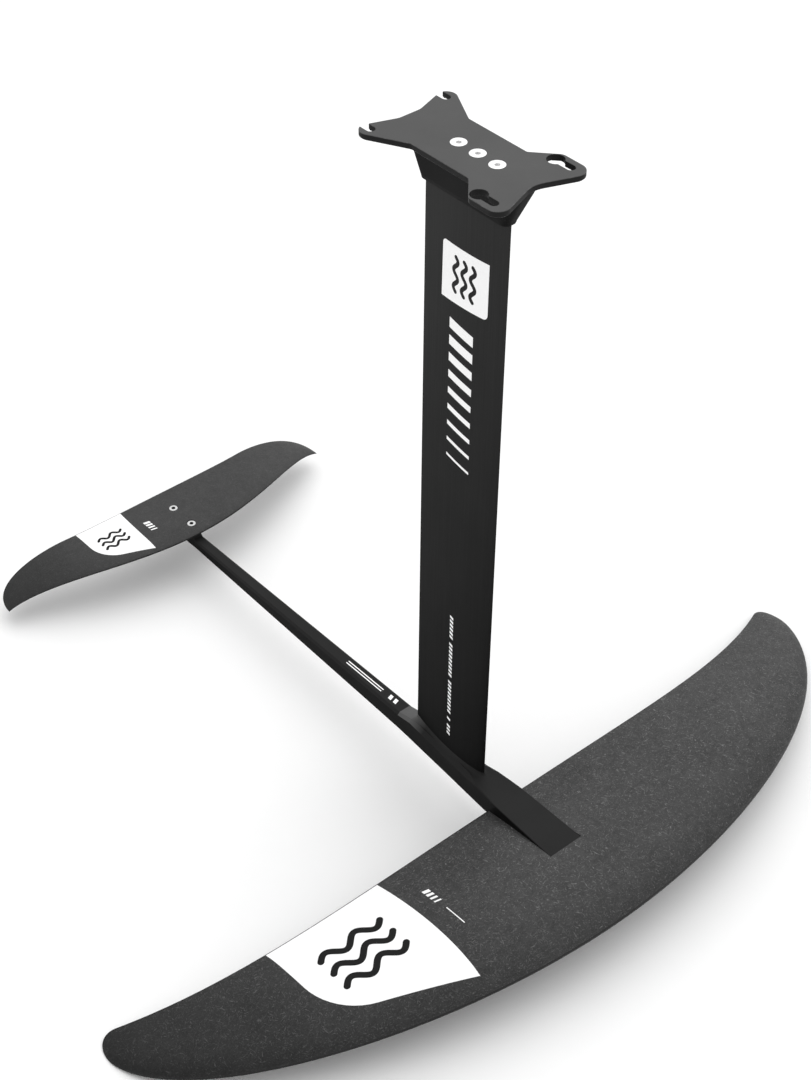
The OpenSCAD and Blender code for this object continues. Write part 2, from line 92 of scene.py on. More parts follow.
WING_SEMI, WING_NOSE, WING_CHORD = 517.0, box_in_mm("front_wing_upper_skin")[0][1], 205.4
WING_Z = FUS_TOP - 18.3
WING_SCREWS = (-179.0, -161.0, -143.0)
STAB_SEMI, STAB_NOSE, STAB_CHORD = 252.0, box_in_mm("stabilizer")[0][1], 101.0
STAB_Z = FUS_TOP - 11.0
STAB_SCREWS = (515.0, 556.5)
SHIM = 1.5

# Radius, head radius, head height, half width of the key's hexagon, and length
PLATE_SCREW = (4, 7.95, 4, 2.6, 41)
FOOT_SCREW = (4, 7.95, 4, 2.9, 45)
WING_SCREW = (3, 5.55, 2.6, 2.3, 12.5)
STAB_SCREW = (3, 5.55, 2.6, 2.3, 17)
# Radius and height
WING_CUP = (8, 3.7)
STAB_CUP = (6.4, 3.75)

# y, half width, top and bottom from FUS_TOP, and the upper edges' chamfer across and down
FUSELAGE = (
    (-192, 22.8, -2.2, -10, 0.6, 0.6),
    (-100, 20.6, -2.6, -25.5, 0.8, 0.8),
    (-81, 19, -2.6, -28.5, 1, 1),
    (-63, 17.3, -2.6, -30.3, 1.5, 1.5),
    (-45, 15.8, -2, -31.5, 5.5, 5),
    (-10, 14.2, -1.2, -31.5, 5.6, 6),
    (28, 12.8, -0.3, -31.5, 4.8, 5),
    (59, 11.5, 0, -31.5, 3.6, 4.5),
    (81, 10.8, -6, -31.5, 2.8, 3.6),
    (502, 7.5, -22, -35, 2, 2.6),
    (511, 8, -15, -35, 1, 1.5),
    (583, 8, -15, -35, 1, 1.5),
    (587, 6.5, -17, -33, 1, 1.5),
)


def foil(t):
    """Depth of a foil section over its chord, with a largest value of 1."""
    return 10 * (0.2969 * np.sqrt(t) - 0.126 * t - 0.3516 * t**2 + 0.2843 * t**3 - 0.1036 * t**4)


def closing(u, start):
    """Quarter round from 0 at start to 1 at the tip."""
    w = np.clip((u - start) / (1 - start), 0, 1)
    return 1 - np.sqrt(1 - w * w)


def wing_edges(u):
    """Leading and trailing edge at a share u of the half span."""
    sweep, rake = 240, 71
    le = WING_NOSE + sweep * (1 - (1 - u * u) ** 0.62)
    te = WING_NOSE + WING_CHORD + rake * u**4 - (WING_CHORD + rake - sweep) * closing(u, 0.95)
    return le, te


def wing_z(u, t, side):
    """Height at shares u of the half span and t of the chord. side is 1 for the upper surface, -1 below."""
    le, te = wing_edges(u)
    c = te - le
    y = le + c * t
    droop, pitch = 57 * u**2.9, 0.02 * (y - WING_NOSE - WING_CHORD / 2)
    depth = 0.0905 if side > 0 else 0.032
    return WING_Z - droop - pitch + side * (c * depth * foil(t) + 0.4 * t)


def stab_edges(u):
    sweep, rake = 75, 68
    le = STAB_NOSE + sweep * (1 - (1 - u**2.15) ** 1.45)
    te = STAB_NOSE + STAB_CHORD + rake * u**3.4 - (STAB_CHORD + rake - sweep) * closing(u, 0.55)
    return le, te


def stab_z(u, t, side):
    le, te = stab_edges(u)
    droop = 43 * u**3
    depth = 0.055 if side > 0 else 0.035
    return STAB_Z - droop + side * ((te - le) * depth * foil(t) + 0.3 * t)


def wing_belly(y):
    return float(wing_z(0.0, (y - WING_NOSE) / WING_CHORD, -1))


def stab_back(y):
    return float(stab_z(0.0, (y - STAB_NOSE) / STAB_CHORD, 1))


def over_foil(semi, edges, height):
    """Height of the upper surface over a point of the plan."""
    def z(x, y):
        u = np.minimum(np.abs(x) / semi, 0.9999)
        le, te = edges(u)
        t = np.clip((y - le) / (te - le), 0, 1)
        return height(u, t, 1)
    return z


def mast_half(y):
    """Half thickness of the mast, thickest at 0.4 of its chord."""
    t = np.clip((y - MAST_NOSE) / MAST_CHORD, 0, 1)
    fore = np.sqrt(np.clip(1 - (1 - t / 0.4) ** 2, 0, 1))
    aft = 1 - 0.93 * ((t - 0.4) / 0.6) ** 2
    return MAST_THICKNESS / 2 * np.where(t < 0.4, fore, aft)


# ---- mesh helpers ----

def piece(name, verts, faces, mats, slot, face_mats=None, sharp=32, weighted=False):
    """New object from millimetre points. Edges sharper than sharp degrees stay sharp."""
    mesh = bpy.data.meshes.new(name)
    mesh.from_pydata([tuple(float(c) * MM for c in v) for v in verts], [], [tuple(f) for f in faces])
    for m in mats:
        mesh.materials.append(m)
    if face_mats is not None:
        mesh.polygons.foreach_set("material_index", list(face_mats))
    bm = bmesh.new()
    bm.from_mesh(mesh)
    bmesh.ops.remove_doubles(bm, verts=bm.verts, dist=1e-7)
    bmesh.ops.dissolve_degenerate(bm, edges=bm.edges, dist=1e-8)
    bmesh.ops.recalc_face_normals(bm, faces=bm.faces)
    bm.to_mesh(mesh)
    bm.free()
    obj = bpy.data.objects.new(name, mesh)
    scene.collection.objects.link(obj)
    return finish_piece(obj, slot, sharp, weighted)


def finish_piece(obj, slot, sharp, weighted=False):
    obj.data.shade_smooth()
    obj.data.set_sharp_from_angle(angle=math.radians(sharp))
    if weighted:
        mod = obj.modifiers.new("weighted", "WEIGHTED_NORMAL")
        mod.keep_sharp = True
        mod.weight = 100
        apply_modifiers(obj)
    if slot:
        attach(obj, "root")
    return obj


def apply_modifiers(obj):
    bpy.context.view_layer.objects.active = obj
    obj.select_set(True)
    for mod in list(obj.modifiers):
        bpy.ops.object.modifier_apply(modifier=mod.name)
    obj.select_set(False)


def cut(obj, verts, faces):
    """Takes a closed solid away from the object."""
    cutter = piece("cutter", verts, faces, [], None)
    mod = obj.modifiers.new("cut", "BOOLEAN")
    mod.operation = "DIFFERENCE"
    mod.solver = "EXACT"
    mod.object = cutter
    apply_modifiers(obj)
    data = cutter.data
    bpy.data.objects.remove(cutter)
    bpy.data.meshes.remove(data)


def rings_mesh(rings):
    """Closed solid over rings of points, each ring with the same number of points."""
    n = len(rings[0])
    verts = [p for r in rings for p in r]
    faces = []
    for s in range(len(rings) - 1):
        for k in range(n):
            a, b = s * n + k, s * n + (k + 1) % n
            faces.append((a, b, b + n, a + n))
    faces.append(tuple(range(n))[::-1])
    faces.append(tuple(range((len(rings) - 1) * n, len(rings) * n)))
    return verts, faces


def arc(cx, cy, r, a0, a1, step):
    n = max(2, int(math.ceil(abs(a1 - a0) / step)))
    return [(cx + r * math.cos(math.radians(a0 + (a1 - a0) * k / n)),
             cy + r * math.sin(math.radians(a0 + (a1 - a0) * k / n))) for k in range(n + 1)]


def clean_loop(loop):
    """The loop without points that repeat their neighbour."""
    tol = 1e-4
    out = []
    for p in loop:
        if not out or math.hypot(p[0] - out[-1][0], p[1] - out[-1][1]) > tol:
            out.append(p)
    if math.hypot(out[0][0] - out[-1][0], out[0][1] - out[-1][1]) <= tol:
        out.pop()
    return out


def offset_loop(loop, d):
    """The loop moved d to the left of its own direction, mitred at its corners."""
    out = []
    n = len(loop)
    for i in range(n):
        p0, p1, p2 = (np.array(loop[(i + k) % n]) for k in (-1, 0, 1))
        e1, e2 = p1 - p0, p2 - p1
        n1 = np.array([-e1[1], e1[0]]) / np.linalg.norm(e1)
        n2 = np.array([-e2[1], e2[0]]) / np.linalg.norm(e2)
        m = n1 + n2
        m = m / max(np.dot(m, n1), 0.35)
        out.append(tuple(p1 + d * m))
    return out


def rounded(corners):
    """Closed outline through (x, y) or (x, y, radius) corners, each radius turned into an arc."""
    step = 6
    out = []
    n = len(corners)
    for i in range(n):
        p = np.array(corners[i][:2], float)
        r = corners[i][2] if len(corners[i]) > 2 else 0
        if r <= 0:
            out.append(tuple(p))
            continue
        a = np.array(corners[i - 1][:2], float) - p
        b = np.array(corners[(i + 1) % n][:2], float) - p
        a, b = a / np.linalg.norm(a), b / np.linalg.norm(b)
        half = math.acos(max(-1.0, min(1.0, float(a @ b)))) / 2
        mid = (a + b) / np.linalg.norm(a + b)
        centre = p + mid * r / math.sin(half)
        start = p + a * r / math.tan(half) - centre
        turn = math.pi - 2 * half
        sign = 1 if a[0] * b[1] - a[1] * b[0] < 0 else -1
        steps = max(2, int(math.degrees(turn) / step))
        for k in range(steps + 1):
            w = sign * turn * k / steps
            c, s = math.cos(w), math.sin(w)
            turned = np.array([start[0] * c - start[1] * s, start[0] * s + start[1] * c])
            out.append(tuple(centre + turned))
    return clean_loop(out)


RIM_STEPS = 3


def rim(z0, z1, low, high):
    """Wall profile as (inset, z) pairs: a flat chamfer at the bottom and a small round at the top."""
    rows = [(low, z0), (low * 0.08, z0 + low * 0.92), (0, z0 + low * 1.15)]
    for k in range(RIM_STEPS + 1):
        a = math.pi / 2 * k / RIM_STEPS
        rows.append((high * (1 - math.cos(a)), z1 - high * (1 - math.sin(a))))
    return rows


def slab(loops):
    """Solid between flat faces. Each loop is (points, profile), with the solid on the left of the points.

    Face materials: 0 the flats, 1 the walls, 2 the rounds at the upper edge.
    """
    verts, faces, mats, ends = [], [], [], []
    for points, profile in loops:
        n = len(points)
        rings = [[(x, y, z) for x, y in offset_loop(points, inset)] for inset, z in profile]
        start = len(verts)
        for r in rings:
            verts += r
        for s in range(len(rings) - 1):
            for k in range(n):
                a, b = start + s * n + k, start + s * n + (k + 1) % n
                faces.append((a, b, b + n, a + n))
                in_round = s >= len(rings) - 1 - RIM_STEPS and profile[s + 1][0] != profile[s][0]
                mats.append(2 if in_round else 1)
        ends.append((start, start + (len(rings) - 1) * n, n))
    for which in (0, 1):
        lines = [[Vector(verts[e[which] + k]) for k in range(e[2])] for e in ends]
        index = [e[which] + k for e in ends for k in range(e[2])]
        for tri in tessellate_polygon(lines):
            faces.append(tuple(index[k] for k in tri))
            mats.append(0)
    return verts, faces, mats


def lathe(profile, x, y, z, up=1, seg=96):
    """Turned solid about a vertical axis, from (radius, height) pairs. A third value makes a hexagon."""
    rings = []
    for entry in profile:
        r, h = entry[0], entry[1]
        ring = []
        for k in range(seg):
            a = 2 * math.pi * k / seg
            q = r
            if len(entry) > 2:
                q = r * math.cos(math.pi / 6) / math.cos((a % (math.pi / 3)) - math.pi / 6)
            ring.append((x + q * math.cos(a), y + q * math.sin(a), z + up * h))
        rings.append(ring)
    return rings_mesh(rings)


def join_parts(parts):
    verts, faces = [], []
    for v, f in parts:
        base = len(verts)
        verts += v
        faces += [tuple(i + base for i in face) for face in f]
    return verts, faces


# ---- materials ----

class Nodes:
    """Short hand for a node tree laid out in the part's own coordinates."""

    def __init__(self, name):
        self.mat = bpy.data.materials.new(name)
        self.mat.use_nodes = True
        self.tree = self.mat.node_tree
        self.tree.nodes.clear()
        self.out = self.add("ShaderNodeOutputMaterial")
        self.shader = self.add("ShaderNodeBsdfPrincipled")
        self.link(self.shader.outputs[0], self.out.inputs[0])
        places = self.add("ShaderNodeTexCoord")
        self.coords = places.outputs["Object"]
        self.facing = places.outputs["Normal"]

    def add(self, kind, **values):
        node = self.tree.nodes.new(kind)
        for key, value in values.items():
            setattr(node, key, value)
        return node

    def link(self, a, b):
        self.tree.links.new(a, b)

    def put(self, socket, value):
        if isinstance(value, bpy.types.NodeSocket):
            self.link(value, socket)
        else:
            socket.default_value = value

    def set(self, name, value):
        self.put(self.shader.inputs[name], value)

    def mapped(self, size, turn=0.0, coords=None):
        """Coordinates turned about Z and then drawn out, so that features get the given relative size."""
        node = self.add("ShaderNodeMapping", vector_type="TEXTURE")
        node.inputs["Scale"].default_value = size
        node.inputs["Rotation"].default_value = (0, 0, math.radians(turn))
        self.link(coords or self.coords, node.inputs["Vector"])
        return node.outputs[0]

    def noise(self, scale, detail, rough, coords=None):
        node = self.add("ShaderNodeTexNoise")
        node.inputs["Scale"].default_value = scale
        node.inputs["Detail"].default_value = detail
        node.inputs["Roughness"].default_value = rough
        self.link(coords or self.coords, node.inputs["Vector"])
        return node.outputs["Fac"]

    def ramp(self, value, low, high, to_low=0.0, to_high=1.0):
        node = self.add("ShaderNodeMapRange")
        node.inputs["From Min"].default_value = low
        node.inputs["From Max"].default_value = high
        node.inputs["To Min"].default_value = to_low
        node.inputs["To Max"].default_value = to_high
        self.link(value, node.inputs["Value"])
        return node.outputs[0]

    def math(self, op, a, b):
        node = self.add("ShaderNodeMath", operation=op)
        self.put(node.inputs[0], a)
        self.put(node.inputs[1], b)
        return node.outputs[0]

    def mix(self, fac, a, b):
        node = self.add("ShaderNodeMix", data_type="RGBA")
        self.put(node.inputs[0], fac)
        self.put(node.inputs[6], a)
        self.put(node.inputs[7], b)
        return node.outputs[2]

    # Paints shade and highlight into a tone by scaling it.
    def faded(self, tone, along, axis, low, high, low_share, high_share):
        """The tone scaled by a share that runs evenly between two values of one component of a vector."""
        split = self.add("ShaderNodeSeparateXYZ")
        self.link(along, split.inputs[0])
        scaled = self.add("ShaderNodeVectorMath", operation="SCALE")
        self.link(tone, scaled.inputs[0])
        self.link(self.ramp(split.outputs[axis], low, high, low_share, high_share), scaled.inputs["Scale"])
        return scaled.outputs[0]

    def bump(self, height, strength, distance):
        node = self.add("ShaderNodeBump")
        node.inputs["Strength"].default_value = strength
        node.inputs["Distance"].default_value = distance
        self.link(height, node.inputs["Height"])
        return node.outputs[0]


def grey(v):
    """Linear grey from an sRGB value of 0 to 255."""
    s = v / 255
    lin = s / 12.92 if s <= 0.04045 else ((s + 0.055) / 1.055) ** 2.4
    return (lin, lin, lin, 1)


def anodised(name, dark, light, rough, gloss, streaks=0.0, painted_shade=None):
    """Bead-blasted anodising. fade scales the tone: (axis, low, high, share at low, share at high)."""
    n = Nodes(name)
    fine = n.noise(1900, 3, 0.65)
    cloud = n.noise(11, 4, 0.6)
    value = n.math("ADD", n.math("MULTIPLY", cloud, 0.55), n.math("MULTIPLY", fine, 0.45))
    if streaks:
        lines = n.noise(620, 3, 0.7, n.mapped((1, 1, 90)))
        value = n.math("ADD", n.math("MULTIPLY", value, 1 - streaks), n.math("MULTIPLY", lines, streaks))
    tone = n.mix(n.ramp(value, 0.3, 0.7), dark, light)
    # Painted shade: the tone is darkened along one coordinate.
    if painted_shade:
        tone = n.faded(tone, n.coords, *painted_shade)
    n.set("Base Color", tone)
    n.set("Roughness", n.ramp(value, 0.25, 0.75, rough + 0.07, rough - 0.06))
    n.set("Specular IOR Level", gloss)
    n.set("Normal", n.bump(fine, 0.3, 0.00005))
    return n.mat


def worn_edge(name, base, bright, rough):
    """Edge rubbed here and there down to paler metal."""
    n = Nodes(name)
    patches = n.noise(170, 5, 0.7)
    n.set("Base Color", n.mix(n.ramp(patches, 0.5, 0.72), base, bright))
    n.set("Roughness", n.ramp(patches, 0.3, 0.8, rough, rough - 0.12))
    n.set("Specular IOR Level", 0.3)
    n.set("Normal", n.bump(n.noise(1900, 3, 0.6), 0.25, 0.00005))
    return n.mat


def fleece(name, dark, light, hair, rough, depth=1.0, painted_shade=None, painted_facing_light=None):
    """Chopped carbon fleece under a matt resin: mottled ground with pale short strands lying every way.

    fade is as for anodised, and tilt is the same along a component of the surface's normal.
    """
    n = Nodes(name)
    warp = n.add("ShaderNodeTexNoise")
    warp.inputs["Scale"].default_value = 90
    n.link(n.coords, warp.inputs["Vector"])
    shift = n.add("ShaderNodeVectorMath", operation="SCALE")
    n.link(warp.outputs["Color"], shift.inputs[0])
    shift.inputs["Scale"].default_value = 0.008
    bent = n.add("ShaderNodeVectorMath", operation="ADD")
    n.link(n.coords, bent.inputs[0])
    n.link(shift.outputs[0], bent.inputs[1])
    strands = None
    for k, turn in enumerate((8, 43, 79, 112, 151)):
        lay = n.noise(760 + 70 * k, 1, 0.5, n.mapped((1, 9, 1), turn, bent.outputs[0]))
        lay = n.ramp(lay, 0.66, 0.8)
        strands = lay if strands is None else n.math("MAXIMUM", strands, lay)
    grain = n.ramp(n.noise(520, 4, 0.75), 0.32, 0.68)
    mottle = n.ramp(n.noise(110, 4, 0.65), 0.3, 0.7)
    cloud = n.ramp(n.noise(14, 3, 0.6), 0.3, 0.7)
    value = n.math("ADD", n.math("MULTIPLY", grain, 0.5), n.math("MULTIPLY", mottle, 0.3))
    value = n.math("ADD", value, n.math("MULTIPLY", cloud, 0.2))
    ground = n.mix(value, dark, light)
    tone = n.mix(n.math("MULTIPLY", strands, 0.75 * depth), ground, hair)
    # Painted shade along one coordinate, then painted shade and highlight by the way the surface faces.
    if painted_shade:
        tone = n.faded(tone, n.coords, *painted_shade)
    if painted_facing_light:
        tone = n.faded(tone, n.facing, *painted_facing_light)
    n.set("Base Color", tone)
    n.set("Roughness", n.ramp(value, 0.2, 0.8, rough + 0.08, rough - 0.06))
    n.set("Specular IOR Level", 0.22)
    relief = n.math("ADD", n.math("MULTIPLY", value, 0.7), n.math("MULTIPLY", strands, 0.5))
    n.set("Normal", n.bump(relief, 0.35 * depth, 0.00012))
    return n.mat


def paint(name, low, high, rough, gloss=0.2):
    """Smooth paint or plastic with a faint peel."""
    n = Nodes(name)
    n.set("Specular IOR Level", gloss)
    peel = n.noise(420, 3, 0.5)
    n.set("Base Color", n.mix(n.noise(35, 3, 0.5), low, high))
    n.set("Roughness", n.ramp(peel, 0.3, 0.7, rough + 0.05, rough - 0.05))
    n.set("Normal", n.bump(peel, 0.12, 0.00003))
    return n.mat


def steel(name, low, high, rough, metallic=1.0):
    """Turned metal with fine rings and a soft wash."""
    n = Nodes(name)
    n.set("Metallic", metallic)
    turned = n.noise(1900, 3, 0.65, n.mapped((1, 1, 3)))
    wash = n.noise(220, 3, 0.6)
    value = n.math("ADD", n.math("MULTIPLY", turned, 0.6), n.math("MULTIPLY", wash, 0.4))
    n.set("Base Color", n.mix(n.ramp(value, 0.3, 0.7), low, high))
    n.set("Roughness", n.ramp(value, 0.3, 0.7, rough + 0.07, rough - 0.07))
    n.set("Normal", n.bump(turned, 0.2, 0.00003))
    return n.mat


MAT = {
    "plate": anodised("plate_anodised", grey(80), grey(89), 0.5, 0.08),
    # Darker copy of the plate's anodising for its walls: painted shade.
    "plate_wall": anodised("plate_wall_painted_shade", grey(26), grey(34), 0.5, 0.08),
    "plate_edge": worn_edge("plate_edge_worn", grey(66), grey(104), 0.45),
    # Black anodising kept darker than the mast's: painted shade under the plate.
    "head": anodised("head_anodised_painted_shade", grey(16), grey(22), 0.55, 0.04),
    # Painted shade: the mast's tone falls to 18 % towards its foot.
    "mast": anodised("mast_anodised", grey(47), grey(55), 0.55, 0.02, 0.5,
                     (2, mast_lo[2] * MM, mast_hi[2] * MM, 0.18, 1.0)),
    "fuselage": anodised("fuselage_anodised", grey(37), grey(44), 0.5, 0.04),
    # Darker copy of the fuselage's anodising for faces that don't face up: painted shade.
    "fuselage_side": anodised("fuselage_side_painted_shade", grey(13), grey(19), 0.5, 0.03),
    # Lighter copy for the rear ramp's upward faces: a painted highlight, scaled down to 19 % towards the
    # mast.
    "ramp": anodised("ramp_painted_highlight", grey(85), grey(95), 0.5, 0.08, 0.0, (1, 0.036, 0.06, 0.19, 1.0)),
    # Painted shade to 30 % at the starboard tip and 80 % facing forward; painted highlight to 107 % facing
    # back.
    "wing": fleece("wing_fleece_painted_shade", grey(38), grey(71), grey(122), 0.55,
                   painted_shade=(0, -0.52, -0.1, 0.3, 1.0), painted_facing_light=(1, -0.25, 0.1, 0.8, 1.07)),
    # Darker, glossier strips along the leading and trailing edges of both foils.
    "wing_edge": anodised("wing_edge_dark", grey(20), grey(30), 0.4, 0.2),
    # Painted shade: the tone falls to 50 % towards the starboard tip and is 93 % elsewhere.
    "stab": fleece("stabiliser_fleece_painted_shade", grey(48), grey(65), grey(98), 0.55, depth=0.45,
                   painted_shade=(0, -0.25, -0.13, 0.5, 0.93)),
    "white": paint("white_print", grey(252), grey(255), 0.5),
    "ink": paint("dark_print", grey(22), grey(28), 0.5, 0.1),
    # Near white and little metallic: the bright steel's own colour with a painted reflection of the white
    # studio.
    "steel": steel("bright_screw_steel_painted_reflection", grey(244), grey(253), 0.4, 0.3),
    "plain_steel": steel("plain_screw_steel", grey(178), grey(206), 0.38, 0.7),
    # Slightly darker copy of the plate screws' steel for their hexes: painted shade.
    "recess": steel("recess_steel_painted_shade", grey(215), grey(240), 0.5, 0.3),
    "cup": steel("black_cup_steel", grey(12), grey(20), 0.45, 0.0),
    "plug": anodised("black_plastic", grey(26), grey(34), 0.55, 0.15),
    "insert": steel("insert_steel", grey(180), grey(205), 0.35),
    "core": paint("foam_core", grey(190), grey(205), 0.8),
    "block": fleece("block_laminate", grey(90), grey(120), grey(160), 0.5),
}


# ---- board plate ----

def plate_outline():
    """Nose edge, keyhole lobes, waist and the hooks round the tail slots, mirrored about the centre line."""
    half, seat, slot_r = TRACK_HALF, SLOT_SEAT, SLOT_HALF
    lobe, lobe_r = (44.0, -86.0), 12.0
    shoulder, shoulder_r = (48.0, -65.0), 8.0
    waist, prong_r = 34.5, SLOT_HALF + 6.5
    nose_r = 30.0
    nose_c = -84.2 - nose_r
    reach = (lobe[0], lobe[1] - nose_c)
    leg = math.degrees(math.atan2(reach[1], reach[0]) + math.acos((nose_r + lobe_r) / math.hypot(*reach)))
    d = (half - waist, seat - 39)
    prong = math.degrees(math.atan2(d[1], d[0]) - math.asin(prong_r / math.hypot(*d))) - 90
    tip = math.degrees(math.acos(slot_r / prong_r))
    right = arc(0, nose_c, nose_r, 90, leg, 3)
    right += arc(*lobe, lobe_r, leg - 180, 0, 5)
    right += arc(*shoulder, shoulder_r, 0, 42, 5)
    right += [(waist, -38, 3), (waist, 39, 6)]
    right += arc(half, seat, prong_r, prong, tip, 5)
    right += arc(half, seat, slot_r, 0, -180, 8)
    right += [(half - slot_r, 91.3, 0.6), (12.5, 81.2, 14)]
    left = [(-p[0], *p[1:]) for p in reversed(right)]
    return rounded(right + left)


def keyhole(side):
    x, entry, r = side * TRACK_HALF, -63.5, 8.5
    mouth = math.degrees(math.acos(SLOT_HALF / r))
    loop = arc(x, -SLOT_SEAT, SLOT_HALF, 180, 360, 8) + arc(x, entry, r, -mouth, 180 + mouth, 5)
    return clean_loop(loop)[::-1]


def make_plate():
    z0, z1 = plate_lo[2], plate_hi[2]
    loops = [(plate_outline(), rim(z0, z1, 1.2, 0.5))]
    loops += [(keyhole(side), rim(z0, z1, 0.5, 0.4)) for side in (-1, 1)]
    for y in CHANNELS:
        hole = clean_loop(arc(0, y, 4.4, 0, 360, 4))[::-1]
        loops.append((hole, [(0.25, z0), (0, z0 + 0.25), (0, z1 - 4.0), (3.6, z1 - 0.25), (3.7, z1)]))
    verts, faces, mats = slab(loops)
    # The walls take the darker copy of the anodising: painted shade.
    skins = [MAT["plate"], MAT["plate_wall"], MAT["plate_edge"]]
    obj = piece("plate_body", verts, faces, skins, "black_anodised", mats, weighted=True)
    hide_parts("board_plate")


# ---- countersunk screws and cups ----

SCREW_SIDES = 72
RECESS_STRIPS = range(9, 14)


def screw_profile(r, head_r, head_h, key, length):
    """Top face at height 0, from the tip up to the head's rim and into the hexagon recess."""
    return [
        (0.4, -length), (r - 0.6, -length), (r, -length + 0.7), (r, -head_h), (head_r - 0.1, -0.32),
        (head_r, -0.24), (head_r, -0.14), (head_r - 0.08, -0.04), (head_r - 0.2, 0),
        (key * 1.17, 0), (key * 1.1, -0.05), (key * 1.0, -0.28, 6), (key, -2.1, 6), (key * 0.9, -2.2, 6),
        (key * 0.3, -2.75),
    ]


def screws(name, node, size, at, up, head, recess):
    """Screws with their heads at the (y, z) places. up is 1 or -1 for the way the heads face."""
    parts = [lathe(screw_profile(*size), 0, y, z, up, SCREW_SIDES) for y, z in at]
    verts, faces = join_parts(parts)
    per = len(faces) // len(at)
    mats = [1 if (k % per) // SCREW_SIDES in RECESS_STRIPS else 0 for k in range(len(faces))]
    obj = piece(name, verts, faces, [MAT[head], MAT[recess]], "bright_steel", mats, sharp=28)
    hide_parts(node)


def cups(name, node, r, h, at, up):
    """Cup washers, open from end to end, with their mouths at the (y, z) places."""
    n = SCREW_SIDES
    parts = []
    for y, z in at:
        profile = [
            (3.06, -h), (r - 0.3, -h), (r, -h + 0.3), (r, -0.2), (r - 0.1, -0.06), (r - 0.25, 0),
            (5.9, 0), (5.72, -0.06), (5.66, -0.2), (3.06, -2.85),
        ]
        v, f = lathe(profile, 0, y, z, up, n)
        last = (len(profile) - 1) * n
        f = f[:-2] + [(last + k, last + (k + 1) % n, (k + 1) % n, k) for k in range(n)]
        parts.append((v, f))
    verts, faces = join_parts(parts)
    obj = piece(name, verts, faces, [MAT["cup"]], "dark_steel", sharp=28)
    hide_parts(node)


# ---- mast and head ----

def mast_loop(grow=0.0, steps=72):
    """Outline of the mast's section, grown sideways and forwards, with its points closest at the nose."""
    side = []
    for k in range(1, steps + 1):
        t = (k / steps) ** 1.9
        y = MAST_NOSE + MAST_CHORD * t
        side.append((float(mast_half(y)) + grow, y))
    return [(0.0, MAST_NOSE - grow)] + side + [(-x, y) for x, y in reversed(side)]


def mast_column(z0, z1):
    """The mast's section with its fit gap, as a cutter for the pockets that hold it."""
    return rings_mesh([[(x, y, z) for x, y in mast_loop(FIT_GAP)] for z in (z0, z1)])


def make_mast():
    loop = mast_loop()
    levels = [mast_lo[2], mast_lo[2] + 0.01] + list(np.linspace(mast_lo[2] + 20, mast_hi[2], 9))
    rings = [[(x, y, z) for x, y in loop] for z in levels]
    verts, faces = rings_mesh(rings)
    obj = piece("mast_body", verts, faces, [MAT["mast"]], "mast_anodised", sharp=40)
    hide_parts("mast")


def head_ring(y0, y1, w, r, z):
    """Rounded rectangle from y0 to y1, with half width w and corner radius r."""
    step = 9
    ring = []
    for cx, cy, a0 in ((w - r, y0 + r, -90), (w - r, y1 - r, 0), (r - w, y1 - r, 90), (r - w, y0 + r, 180)):
        ring += [(x, y, z) for x, y in arc(cx, cy, r, a0, a0 + 90, step)]
    return ring


def make_head():
    top, low = head_hi[2], head_lo[2]
    rows = [
        (-59.2, 57.8, 8.2, 7.0, low),
        (-59.5, 58.1, 8.5, 7.2, low + 0.08),
        (-59.8, 58.4, 8.8, 7.5, low + 0.35),
        (-60.9, 58.9, 9.8, 8.3, low + 3.8),
        (-61.2, 59.0, 10.05, 8.45, low + 4.5),
    ]
    flare_low, flare_top = (-61.7, 59.3, 10.25, 8.6, low + 5.4), (-78.5, 70.7, 16.8, 12.9, top - 4.0)
    rows += [tuple(row) for row in np.linspace(flare_low, flare_top, 7)]
    rows += [(-78.9, 70.95, 16.98, 13, top - 3), (-79, 71, 17, 13, top - 2.4), (-79, 71, 17, 13, top)]
    verts, faces = rings_mesh([head_ring(*r) for r in rows])
    obj = piece("head_body", verts, faces, [MAT["head"]], "black_anodised", sharp=50, weighted=True)
    cut(obj, *mast_column(low - 2, mast_hi[2]))
    finish_piece(obj, None, 50)
    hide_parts("mast_head")


# ---- fuselage ----

def fuselage_at(y):
    """Half width, top, bottom and the chamfer across and down at a place along the fuselage."""
    table = np.array(FUSELAGE, float)
    row = [np.interp(y, table[:, 0], table[:, k]) for k in range(1, 6)]
    return row[0], FUS_TOP + row[1], FUS_TOP + row[2], row[3], row[4]


def fuselage_top(x, y):
    """Height of the fuselage's upper faces, chamfers included."""
    half, top, _, cx, cz = fuselage_at(y)
    past = abs(x) - half + cx
    if past <= 0:
        return top
    return top - cz * min(1.0, past / cx)


